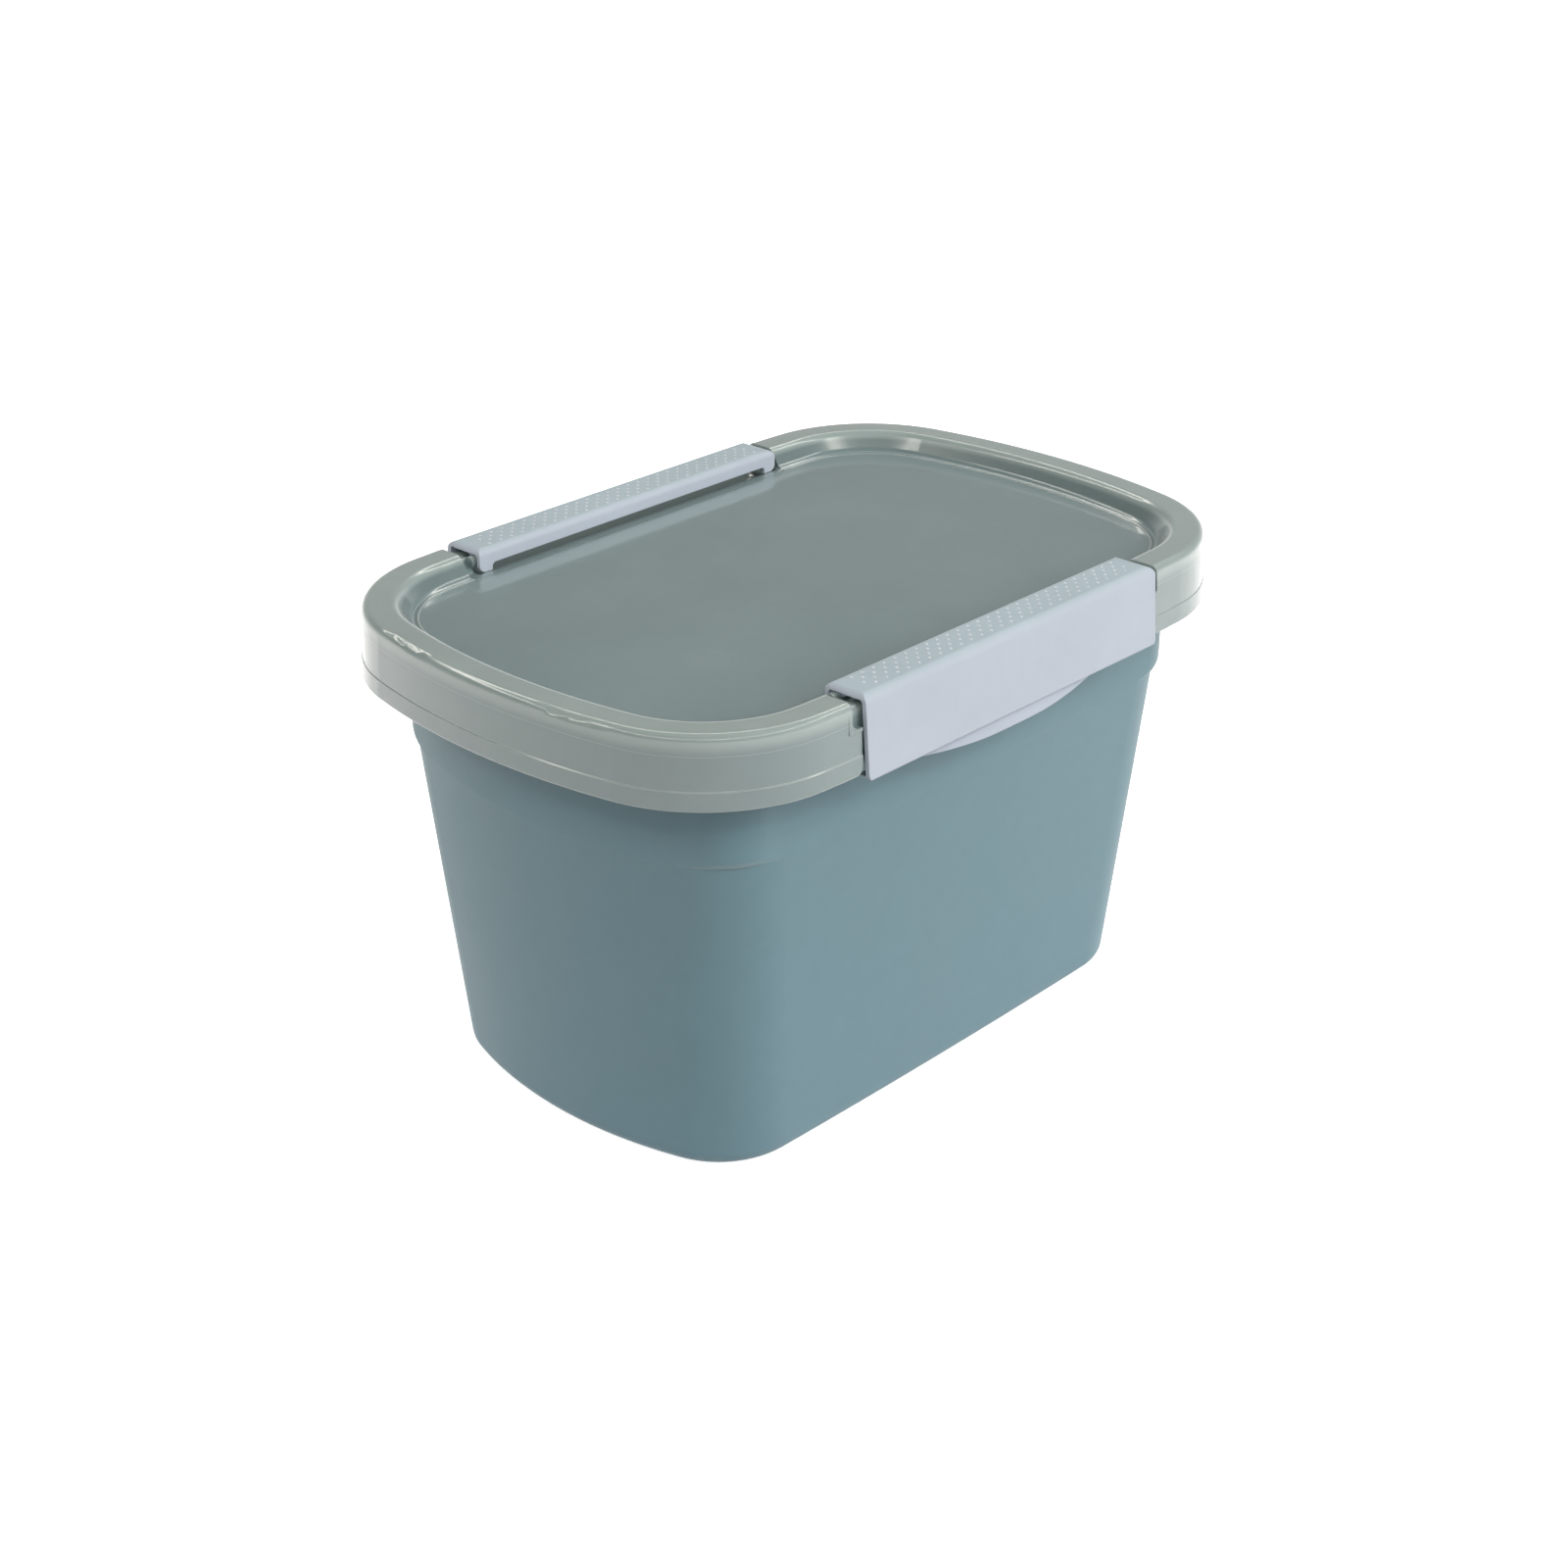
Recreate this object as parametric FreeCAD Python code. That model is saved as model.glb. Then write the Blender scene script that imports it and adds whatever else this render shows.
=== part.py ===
import FreeCAD, Part
import math
import os

# A storage tote with a lift-off lid that two long clips hold down.
# X runs along the box, Y across it towards the back clip, Z is up.
# The origin is on the floor under the middle of the box. Sizes are in millimetres.

# Plan of the lid, measured at the bottom of its skirt. Every side is slightly bowed.
LID_HALF_LENGTH = 190.0
LID_HALF_WIDTH = 128.5
LID_CORNER_R = 69.0
LID_END_BOW_R = 332.0
LID_SIDE_BOW_R = 2400.0

# Plan of the tub, at its foot and at the shoulder.
FOOT_HALF_LENGTH = 154.0
FOOT_HALF_WIDTH = 93.8
FOOT_CORNER_R = 40.5
FOOT_END_BOW_R = 209.0
FOOT_SIDE_BOW_R = 5000.0
TUB_HALF_LENGTH = 167.8
TUB_HALF_WIDTH = 106.3
TUB_CORNER_R = 39.3
TUB_END_BOW_R = 242.0
TUB_SIDE_BOW_R = 3100.0
BAND_CORNER_R = 25.0

# Heights.
RIM_Z = 208.0
BAND_HEIGHT = 54.1
SHOULDER_ROUND = 6.0
LID_RISE = 13.9
PANEL_DEPTH = 9.05
SKIRT_DROP = 18.0
SKIRT_BEAD_DROP = 9.5

# Walls.
TUB_WALL = 2.2
TUB_FLOOR = 2.6
LID_WALL = 2.0
CLIP_WALL = 2.0
HEEL_R = 7.0

# Rim of the tub: a flange that turns down into a lip.
RIM_INSET = 7.3
LIP_WALL = 1.8
LIP_DEPTH = 17.0
GUSSET = 1.6
GUSSET_PITCH = 44.0
GUSSET_DROP = 11.0

# Section of the lid.
SKIRT_DRAFT = 1.5
BEAD_STEP = 0.4
SKIRT_LIP_R = 0.8
LID_EDGE_R = 3.5
RING_WIDTH = 14.4
SLOPE_WIDTH = 10.5
SLOPE_R = 4.2
PANEL_BEAD = 0.35
PANEL_BEAD_WIDTH = 1.0
SEAT_RIB = 1.8
SEAT_RIB_INSET = 10.4
PLUG_RIB = 1.8
PLUG_DEPTH = 8.0
PLUG_GAP = 1.1

# Clips and their hinges.
CLIP_HALF_LENGTH = 95.9
CLIP_END_GAP = 1.1
LEFT_OVERHANG = 6.6
RIGHT_OVERHANG = 3.0
CHEEK_STEP = 2.8
RECESS_DROP = 11.4
SLOT_FLOOR = 1.5
CLIP_RISE = 1.5
CLIP_DROP = 3.3
CLIP_TOP_INSET = 2.3
CLIP_LEAN = 2.5
CLIP_WIDTH = 21.9
CLIP_OUTER_R = 4.3
CLIP_INNER_R = 3.2
CLIP_TOP_WALL = 2.5
CLIP_LEFT_R = 2.6
CLIP_RIGHT_R = 4.0
HINGE_INSET = 5.0
HINGE_BELOW_TOP = 5.9
ROD_R = 2.7
ROD_GAP = 0.06
CLAW_WALL = 1.9
EAR_WIDTH = 7.4
EAR_DEPTH = 10.6
WINDOW_DEPTH = 7.2
EAR_FOOT_R = 3.6
CLAW_WIDTH = 7.0
CLAW_X = 36.0
WEB = 2.4
WEB_X = (0.0, 18.0, 54.0, 76.0)
SWING_GAP = 0.5
RECESS_FLOOR_GAP = 2.9
CATCH_GAP = 0.5

# Finger tongue under each clip.
TONGUE_HALF_LENGTH = 60.0
TONGUE_BOW_R = 420.0
TONGUE_DEPTH = 7.2
TONGUE_RISE = 3.2
TONGUE_SETBACK = 1.2
TONGUE_FLARE = 3.6
TONGUE_WALL = 1.8

# Grip dots on top of each clip, in staggered rows.
DOT_R = 0.85
DOT_TOP_R = 0.45
DOT_HEIGHT = 0.3
DOT_PITCH = 6.6
DOT_ROWS = 4
DOT_ROW_PITCH = 3.4
DOT_INSET = 4.7

# Worked-out sizes.
SHOULDER_Z = RIM_Z - BAND_HEIGHT
LID_Z = RIM_Z + LID_RISE
SKIRT_Z = RIM_Z - SKIRT_DROP
SKIRT_BEAD_Z = RIM_Z - SKIRT_BEAD_DROP
CLIP_TOP_Y = LID_HALF_WIDTH - CLIP_TOP_INSET
CLIP_FOOT_Y = CLIP_TOP_Y + CLIP_LEAN
CLIP_INNER_Y = CLIP_TOP_Y - CLIP_WIDTH
HINGE_Y = CLIP_INNER_Y + HINGE_INSET
CLIP_Z = LID_Z + CLIP_RISE
CLIP_FOOT_Z = SKIRT_Z - CLIP_DROP
HINGE_Z = CLIP_Z - HINGE_BELOW_TOP
PANEL_Z = LID_Z - PANEL_DEPTH
PANEL_INSET = RING_WIDTH + SLOPE_WIDTH
BORE_R = ROD_R + ROD_GAP
SWING_R = math.hypot(HINGE_Y - CLIP_INNER_Y, HINGE_Z - CLIP_Z + EAR_DEPTH)
TROUGH_R = SWING_R + SWING_GAP
RECESS_LEFT = -CLIP_HALF_LENGTH - LEFT_OVERHANG
RECESS_RIGHT = CLIP_HALF_LENGTH + RIGHT_OVERHANG
CHEEK_X = CLIP_HALF_LENGTH + CLIP_END_GAP
RECESS_FLOOR_Z = CLIP_Z - CLIP_TOP_WALL - RECESS_FLOOR_GAP
SLOT_Z = LID_Z - RECESS_DROP
RIM_HALF_WIDTH = LID_HALF_WIDTH - RIM_INSET
CATCH_Y = RIM_HALF_WIDTH + CATCH_GAP
FAR = 400.0


def v(x, y, z):
    return FreeCAD.Vector(x, y, z)


def outline(half_length, half_width, corner_r, end_bow_r, side_bow_r, z, inset=0.0):
    """A closed rounded rectangle with bowed sides, moved in by inset. It starts at the middle of the +X end."""
    a = half_length - inset
    b = half_width - inset
    r = corner_r - inset
    r_end = end_bow_r - inset
    r_side = side_bow_r - inset
    end_centre = v(a - r_end, 0, z)
    side_centre = v(0, b - r_side, z)
    reach_end = r_end - r
    reach_side = r_side - r
    apart = (side_centre - end_centre).Length
    along = (reach_end ** 2 - reach_side ** 2 + apart ** 2) / (2 * apart)
    across = math.sqrt(reach_end ** 2 - along ** 2)
    u = (side_centre - end_centre) * (1 / apart)
    w = v(u.y, -u.x, 0)
    if w.x < 0:
        w = w * -1
    corner = end_centre + u * along + w * across
    to_end = (corner - end_centre).normalize()
    to_side = (corner - side_centre).normalize()
    p_end = end_centre + to_end * r_end
    p_mid = corner + (to_end + to_side).normalize() * r
    p_side = side_centre + to_side * r_side
    half = math.atan2(to_end.y, to_end.x) / 2
    p_bow = end_centre + v(math.cos(half), math.sin(half), 0) * r_end
    quarter = [v(a, 0, z), p_bow, p_end, p_mid, p_side]

    def flip(p, sx, sy):
        return v(p.x * sx, p.y * sy, p.z)

    q = quarter
    arcs = [
        Part.Arc(q[0], q[1], q[2]),
        Part.Arc(q[2], q[3], q[4]),
        Part.Arc(q[4], v(0, b, z), flip(q[4], -1, 1)),
        Part.Arc(flip(q[4], -1, 1), flip(q[3], -1, 1), flip(q[2], -1, 1)),
        Part.Arc(flip(q[2], -1, 1), v(-a, 0, z), flip(q[2], -1, -1)),
        Part.Arc(flip(q[2], -1, -1), flip(q[3], -1, -1), flip(q[4], -1, -1)),
        Part.Arc(flip(q[4], -1, -1), v(0, -b, z), flip(q[4], 1, -1)),
        Part.Arc(flip(q[4], 1, -1), flip(q[3], 1, -1), flip(q[2], 1, -1)),
        Part.Arc(flip(q[2], 1, -1), flip(q[1], 1, -1), q[0]),
    ]
    return Part.Wire([arc.toShape() for arc in arcs])


def lid_outline(z, inset=0.0):
    return outline(LID_HALF_LENGTH, LID_HALF_WIDTH, LID_CORNER_R, LID_END_BOW_R, LID_SIDE_BOW_R, z, inset)


def band_outline(z, corner_r, inset=0.0):
    return outline(TUB_HALF_LENGTH, TUB_HALF_WIDTH, corner_r, TUB_END_BOW_R, TUB_SIDE_BOW_R, z, inset)


def prism(wire, height):
    return Part.Face(wire).extrude(v(0, 0, height))


def tube(outer, inner, height):
    """An upright wall between two outlines at the same height."""
    return prism(outer, height).cut(prism(inner, height))


def loft(wires):
    return Part.makeLoft(wires, True, True)


def box(x0, x1, y0, y1, z0, z1):
    return Part.makeBox(x1 - x0, y1 - y0, z1 - z0, v(x0, y0, z0))


def chain(steps):
    """A closed wire in 2D pairs: each step is a corner, or a pair of a point on an arc and the arc's end."""
    edges = []
    here = steps[0]
    for step in steps[1:] + [steps[0]]:
        if isinstance(step, list):
            mid, end = step
            edges.append(Part.Arc(here, mid, end).toShape())
            here = end
        elif (step - here).Length > 1e-6:
            edges.append(Part.LineSegment(here, step).toShape())
            here = step
    return Part.Wire(edges)


def on_circle(centre, r, degrees, place):
    a = math.radians(degrees)
    return place(centre[0] + r * math.cos(a), centre[1] + r * math.sin(a))


def arc_to(centre, r, start, end, place):
    """The arc step for chain(), from angle start to angle end about centre."""
    return [on_circle(centre, r, (start + end) / 2, place), on_circle(centre, r, end, place)]


def across(y, z):
    """A point of a clip or recess section, on the back side of the box."""
    return v(0, y, z)


def union(shapes):
    first = shapes[0]
    return first.fuse(shapes[1:]).removeSplitter()


# ---------------------------------------------------------------- tub

def tub_body(inset, bottom, heel_r):
    """Tapered body, corner shoulders and upright band as one solid, moved in by inset."""
    share = bottom / SHOULDER_Z
    taper_x = FOOT_HALF_LENGTH + (TUB_HALF_LENGTH - FOOT_HALF_LENGTH) * share
    taper_y = FOOT_HALF_WIDTH + (TUB_HALF_WIDTH - FOOT_HALF_WIDTH) * share
    foot = outline(taper_x, taper_y, FOOT_CORNER_R, FOOT_END_BOW_R, FOOT_SIDE_BOW_R, bottom, inset)
    lower = loft([foot, band_outline(SHOULDER_Z, TUB_CORNER_R, inset)])
    heel = [edge for edge in lower.Edges if edge.BoundBox.ZMax < bottom + 0.01]
    lower = lower.makeFillet(heel_r, heel)
    steps = 6
    rings = []
    for i in range(steps + 1):
        turn = math.radians(90.0 * i / steps)
        corner_r = TUB_CORNER_R + (BAND_CORNER_R - TUB_CORNER_R) * math.sin(turn)
        rings.append(band_outline(SHOULDER_Z + SHOULDER_ROUND * (1 - math.cos(turn)), corner_r, inset))
    shoulder = Part.makeLoft(rings, True, True)
    band_foot = SHOULDER_Z + SHOULDER_ROUND
    band = prism(band_outline(band_foot, BAND_CORNER_R, inset), RIM_Z - band_foot)
    return union([lower, shoulder, band])


def tub_gussets(channel):
    """Thin plates under the flange, between the wall and the lip."""
    plates = []
    count = int(TUB_HALF_LENGTH * 0.8 // GUSSET_PITCH)
    for i in range(-count, count + 1):
        x = i * GUSSET_PITCH
        plates.append(box(x - GUSSET / 2, x + GUSSET / 2, -FAR, FAR, RIM_Z - GUSSET_DROP, RIM_Z))
    count = int(TUB_HALF_WIDTH * 0.8 // GUSSET_PITCH)
    for i in range(-count, count + 1):
        y = i * GUSSET_PITCH
        plates.append(box(-FAR, FAR, y - GUSSET / 2, y + GUSSET / 2, RIM_Z - GUSSET_DROP, RIM_Z))
    return [plate.common(channel) for plate in plates]


def make_tub():
    body = tub_body(0.0, 0.0, HEEL_R)
    hollow = tub_body(TUB_WALL, TUB_FLOOR, HEEL_R - TUB_WALL)
    flange = prism(lid_outline(RIM_Z - TUB_WALL, RIM_INSET), TUB_WALL)
    lip_z = RIM_Z - LIP_DEPTH
    lip = tube(lid_outline(lip_z, RIM_INSET), lid_outline(lip_z, RIM_INSET + LIP_WALL), LIP_DEPTH)
    under_z = RIM_Z - GUSSET_DROP
    channel = prism(lid_outline(under_z, RIM_INSET + LIP_WALL / 2), GUSSET_DROP)
    channel = channel.cut(prism(band_outline(under_z, BAND_CORNER_R, TUB_WALL / 2), GUSSET_DROP))
    solid = union([body, flange, lip] + tub_gussets(channel))
    return solid.cut(hollow).removeSplitter()


# ---------------------------------------------------------------- lid

def ring_point(inset, z):
    """A point of the lid's section at the middle of the +X end."""
    return v(LID_HALF_LENGTH - inset, 0, z)


def slope_steps():
    """Centres, radii and angle of the S-shaped slope from the ring down to the panel."""
    top = (RING_WIDTH, LID_Z - SLOPE_R)
    low = (PANEL_INSET, PANEL_Z + SLOPE_R)
    reach = math.hypot(low[0] - top[0], low[1] - top[1])
    lean = math.degrees(math.atan2(top[1] - low[1], low[0] - top[0]) + math.asin(2 * SLOPE_R / reach))
    return top, low, lean


def ring_top():
    """The outer surface of the lid's section, from the foot of the skirt to the panel."""
    top, low, lean = slope_steps()
    edge = (SKIRT_DRAFT + LID_EDGE_R, LID_Z - LID_EDGE_R)
    return [
        ring_point(SKIRT_LIP_R, SKIRT_Z),
        arc_to((SKIRT_LIP_R, SKIRT_Z + SKIRT_LIP_R), SKIRT_LIP_R, 270, 180, ring_point),
        ring_point(BEAD_STEP, SKIRT_BEAD_Z - BEAD_STEP / 2),
        ring_point(2 * BEAD_STEP, SKIRT_BEAD_Z + BEAD_STEP / 2),
        ring_point(SKIRT_DRAFT, LID_Z - LID_EDGE_R),
        arc_to(edge, LID_EDGE_R, 180, 90, ring_point),
        ring_point(RING_WIDTH, LID_Z),
        arc_to(top, SLOPE_R, 90, 90 - lean, ring_point),
        on_circle(low, SLOPE_R, 270 - lean, ring_point),
        arc_to(low, SLOPE_R, 270 - lean, 270, ring_point),
        [
            ring_point(PANEL_INSET + PANEL_BEAD_WIDTH / 2, PANEL_Z + PANEL_BEAD),
            ring_point(PANEL_INSET + PANEL_BEAD_WIDTH, PANEL_Z),
        ],
        ring_point(PANEL_INSET + 2 * PANEL_BEAD_WIDTH, PANEL_Z),
        ring_point(PANEL_INSET + 2 * PANEL_BEAD_WIDTH, PANEL_Z - LID_WALL),
    ]


def filled_section(step):
    """The ring's section filled down to the tub's rim, with its surface sunk by step."""
    top, low, lean = slope_steps()
    edge = (SKIRT_DRAFT + LID_EDGE_R, LID_Z - LID_EDGE_R)
    wide_r = SLOPE_R + step
    at_panel = 180 + math.degrees(math.asin(SLOPE_R / wide_r))
    return [
        ring_point(2 * BEAD_STEP + step, SLOT_Z - SLOT_FLOOR - 0.1),
        ring_point(SKIRT_DRAFT + step, LID_Z - LID_EDGE_R),
        arc_to(edge, LID_EDGE_R - step, 180, 90, ring_point),
        ring_point(RING_WIDTH, LID_Z - step),
        arc_to(top, SLOPE_R - step, 90, 90 - lean, ring_point),
        on_circle(low, wide_r, 270 - lean, ring_point),
        arc_to(low, wide_r, 270 - lean, at_panel if step else 270, ring_point),
        ring_point(PANEL_INSET + 1, PANEL_Z),
        ring_point(PANEL_INSET + 1, RIM_Z + 0.2),
        ring_point(SEAT_RIB_INSET - 2, RIM_Z + 0.2),
        ring_point(LID_WALL + step + 2, SLOT_Z - SLOT_FLOOR - 0.1),
    ]


def ring_underside():
    """The inner surface, from the panel back to the foot of the skirt, with the seat rib."""
    top, low, lean = slope_steps()
    under = LID_Z - LID_WALL
    rib_in = SEAT_RIB_INSET + SEAT_RIB
    thin_r = SLOPE_R - LID_WALL
    wide_r = SLOPE_R + LID_WALL
    return [
        ring_point(PANEL_INSET, PANEL_Z - LID_WALL),
        arc_to(low, wide_r, 270, 270 - lean, ring_point),
        on_circle(top, thin_r, 90 - lean, ring_point),
        arc_to(top, thin_r, 90 - lean, 90, ring_point),
        ring_point(rib_in, under),
        ring_point(rib_in, RIM_Z),
        ring_point(SEAT_RIB_INSET, RIM_Z),
        ring_point(SEAT_RIB_INSET, under),
        ring_point(SKIRT_DRAFT + LID_WALL + 1.5, under),
        ring_point(SKIRT_DRAFT + LID_WALL, under - 1.5),
        ring_point(LID_WALL, SKIRT_Z),
    ]


def swept(steps):
    spine = lid_outline(SKIRT_Z)
    ring = spine.makePipeShell([chain(steps)], True, False)
    return Part.Solid(ring.Shells[0]) if ring.ShapeType != "Solid" else ring


def panel_plate():
    return prism(lid_outline(PANEL_Z - LID_WALL, PANEL_INSET), LID_WALL)


def plug_rib():
    """The rib under the panel that drops inside the tub's mouth and centres the lid."""
    z = RIM_Z - PLUG_DEPTH + TUB_WALL
    gap = TUB_WALL + PLUG_GAP
    corner_r = LID_CORNER_R - PANEL_INSET + gap
    outer = band_outline(z, corner_r, gap)
    inner = band_outline(z, corner_r, gap + PLUG_RIB)
    return tube(outer, inner, PANEL_Z - LID_WALL / 2 - z)


def front_view(points, y0, y1):
    """A prism along Y of an outline given in x and z."""
    return Part.Face(chain(points)).extrude(v(0, y1 - y0, 0)).translated(v(0, y0, 0))


def facing(x, z):
    return v(x, 0, z)


def recess_gap():
    """The opening that a clip needs in the ring and the skirt, on the back side."""
    slot_r = 3.5
    foot_r = 5.0
    high = CLIP_Z + 5
    low = SKIRT_Z - 5
    foot = SKIRT_Z + foot_r
    left = RECESS_LEFT + slot_r
    right = RECESS_RIGHT - min(slot_r, RIGHT_OVERHANG / 2)
    right_r = RECESS_RIGHT - right
    steps = [
        facing(RECESS_LEFT, high),
        facing(RECESS_LEFT, SLOT_Z + slot_r),
        arc_to((left, SLOT_Z + slot_r), slot_r, 180, 270, facing),
        facing(-CHEEK_X, SLOT_Z),
        facing(-CHEEK_X, foot),
        arc_to((-CHEEK_X - foot_r, foot), foot_r, 0, -90, facing),
        facing(-CHEEK_X - foot_r, low),
        facing(CHEEK_X + foot_r, low),
        facing(CHEEK_X + foot_r, SKIRT_Z),
        arc_to((CHEEK_X + foot_r, foot), foot_r, -90, -180, facing),
        facing(CHEEK_X, SLOT_Z),
        facing(right, SLOT_Z),
        arc_to((right, SLOT_Z + right_r), right_r, 270, 360, facing),
        facing(RECESS_RIGHT, high),
    ]
    skirt_gap = front_view(steps, wall_y() - LID_WALL, LID_HALF_WIDTH + 10)
    ring_gap = box(RECESS_LEFT, RECESS_RIGHT, panel_edge_y() - 0.5, wall_y(), RIM_Z - 5, high)
    return skirt_gap.fuse(ring_gap)


def wall_y():
    """Outer face of the wall behind a clip."""
    slope = (CLIP_FOOT_Y - CLIP_TOP_Y) / (CLIP_Z - CLIP_FOOT_Z)
    return CLIP_TOP_Y - CLIP_WALL - slope * CLIP_OUTER_R - SWING_GAP * 2


def panel_edge_y():
    """Where the recess joins the flat panel, clear of the bow of the panel's edge."""
    bow = RECESS_LEFT ** 2 / (2 * LID_SIDE_BOW_R)
    return LID_HALF_WIDTH - PANEL_INSET - bow - 1.5


def trough():
    """The floor of the recess: a half-round trough under the hinge, a shelf and a wall behind the clip."""
    centre = (HINGE_Y, HINGE_Z)
    outer_r = TROUGH_R + LID_WALL
    inner_in = 180 + math.degrees(math.asin((HINGE_Z - PANEL_Z) / TROUGH_R))
    inner_out = 360 + math.degrees(math.asin((RECESS_FLOOR_Z - HINGE_Z) / TROUGH_R))
    under_floor = RECESS_FLOOR_Z - LID_WALL
    under_panel = PANEL_Z - LID_WALL
    outer_out = 360 + math.degrees(math.asin((under_floor - HINGE_Z) / outer_r))
    outer_in = 180 + math.degrees(math.asin((HINGE_Z - under_panel) / outer_r))
    steps = [
        across(panel_edge_y(), PANEL_Z),
        on_circle(centre, TROUGH_R, inner_in, across),
        arc_to(centre, TROUGH_R, inner_in, inner_out, across),
        across(wall_y(), RECESS_FLOOR_Z),
        across(wall_y(), RIM_Z),
        across(wall_y() - LID_WALL, RIM_Z),
        across(wall_y() - LID_WALL, under_floor),
        on_circle(centre, outer_r, outer_out, across),
        arc_to(centre, outer_r, outer_out, outer_in, across),
        across(panel_edge_y(), under_panel),
    ]
    start = RECESS_LEFT - LID_WALL / 2
    length = RECESS_RIGHT + LID_WALL / 2 - start
    return Part.Face(chain(steps)).extrude(v(length, 0, 0)).translated(v(start, 0, 0))


def recess_ends():
    """Plates that close the cut ends of the ring, and the sunken cheeks that hold the rod beside the clip."""
    full = swept(filled_section(0.0))
    sunk = swept(filled_section(CHEEK_STEP))
    low = RIM_Z + 0.2
    inner = panel_edge_y()
    left_plate = box(RECESS_LEFT - LID_WALL, RECESS_LEFT, inner, LID_HALF_WIDTH, low, LID_Z)
    right_plate = box(RECESS_RIGHT, RECESS_RIGHT + LID_WALL, inner, LID_HALF_WIDTH, low, LID_Z)
    left_cheek = box(RECESS_LEFT - 0.5, -CHEEK_X, inner, LID_HALF_WIDTH, low, LID_Z)
    right_cheek = box(CHEEK_X, RECESS_RIGHT + 0.5, inner, LID_HALF_WIDTH, low, LID_Z)
    left_floor = box(RECESS_LEFT, -CHEEK_X, wall_y() - LID_WALL, LID_HALF_WIDTH, SLOT_Z - SLOT_FLOOR, SLOT_Z)
    right_floor = box(CHEEK_X, RECESS_RIGHT, wall_y() - LID_WALL, LID_HALF_WIDTH, SLOT_Z - SLOT_FLOOR, SLOT_Z)
    from_full = [shape.common(full) for shape in (left_plate, right_plate, left_floor, right_floor)]
    return from_full + [shape.common(sunk) for shape in (left_cheek, right_cheek)]


def hinge_rod():
    length = 2 * CHEEK_X + LID_WALL
    return Part.makeCylinder(ROD_R, length, v(-length / 2, HINGE_Y, HINGE_Z), v(1, 0, 0))


def rod_webs():
    """Webs that tie the rod to the outer wall of the trough, clear of the swinging claws."""
    reach = TROUGH_R + LID_WALL / 2
    lean = math.radians(-28)
    steps = [
        across(HINGE_Y, HINGE_Z + ROD_R - 0.1),
        across(HINGE_Y + reach, RECESS_FLOOR_Z + 0.6),
        across(HINGE_Y + reach, RECESS_FLOOR_Z - LID_WALL / 2),
        across(HINGE_Y + reach * math.cos(lean), HINGE_Z + reach * math.sin(lean)),
        across(HINGE_Y, HINGE_Z),
    ]
    web = Part.Face(chain(steps)).extrude(v(WEB, 0, 0))
    places = sorted(set(WEB_X) | set(-x for x in WEB_X))
    return [web.translated(v(x - WEB / 2, 0, 0)) for x in places]


def front(shape):
    """The same shape on the front side of the box."""
    return shape.mirror(v(0, 0, 0), v(0, 1, 0))


def make_lid():
    ring = swept(ring_top() + ring_underside())
    body = union([ring, panel_plate(), plug_rib()])
    gap = recess_gap()
    body = body.cut([gap, front(gap)])
    parts = [trough(), hinge_rod()] + rod_webs() + recess_ends()
    parts = parts + [front(shape) for shape in parts]
    return union([body] + parts)


# ---------------------------------------------------------------- clips

def clip_section():
    """The C-shaped section of a clip: inner flange, top, flared face and catch ledge."""
    draft = math.degrees(math.atan2(CLIP_FOOT_Y - CLIP_TOP_Y, CLIP_Z - CLIP_FOOT_Z))
    inner_c = (CLIP_INNER_Y + CLIP_INNER_R, CLIP_Z - CLIP_INNER_R)
    outer_c = (CLIP_TOP_Y - CLIP_OUTER_R, CLIP_Z - CLIP_OUTER_R)
    hollow_c = (outer_c[0] - 0.1, outer_c[1])
    hollow_r = CLIP_OUTER_R - CLIP_WALL
    foot_in = CLIP_FOOT_Y - CLIP_WALL
    flange_in = CLIP_INNER_Y + 1.9
    under = CLIP_Z - CLIP_TOP_WALL
    return [
        across(CLIP_INNER_Y, CLIP_Z - EAR_DEPTH),
        across(CLIP_INNER_Y, CLIP_Z - CLIP_INNER_R),
        arc_to(inner_c, CLIP_INNER_R, 180, 90, across),
        across(outer_c[0], CLIP_Z),
        arc_to(outer_c, CLIP_OUTER_R, 90, draft, across),
        across(CLIP_FOOT_Y, CLIP_FOOT_Z + 0.8),
        across(CLIP_FOOT_Y - 0.8, CLIP_FOOT_Z),
        across(CATCH_Y, CLIP_FOOT_Z),
        across(CATCH_Y, CLIP_FOOT_Z + CLIP_WALL - 0.6),
        across(CATCH_Y + 0.6, CLIP_FOOT_Z + CLIP_WALL),
        across(foot_in - 0.6, CLIP_FOOT_Z + CLIP_WALL),
        across(foot_in - 0.1, CLIP_FOOT_Z + CLIP_WALL + 0.6),
        on_circle(hollow_c, hollow_r, draft, across),
        [on_circle(hollow_c, hollow_r, 45, across), across(hollow_c[0] - 0.4, under)],
        across(flange_in + 0.8, under),
        across(flange_in, under - 0.8),
        across(flange_in, CLIP_Z - EAR_DEPTH),
    ]


def rounded_view(low, foot_r):
    """A clip's outline seen from the front, down to the height low."""
    x = CLIP_HALF_LENGTH
    left = -x + CLIP_LEFT_R
    right = x - CLIP_RIGHT_R
    return [
        facing(-x + foot_r, low),
        facing(x - foot_r, low),
        arc_to((x - foot_r, low + foot_r), foot_r, -90, 0, facing),
        facing(x, CLIP_Z - CLIP_RIGHT_R),
        arc_to((right, CLIP_Z - CLIP_RIGHT_R), CLIP_RIGHT_R, 0, 90, facing),
        facing(left, CLIP_Z),
        arc_to((left, CLIP_Z - CLIP_LEFT_R), CLIP_LEFT_R, 90, 180, facing),
        facing(-x, low + foot_r),
        arc_to((-x + foot_r, low + foot_r), foot_r, 180, 270, facing),
    ]


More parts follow.
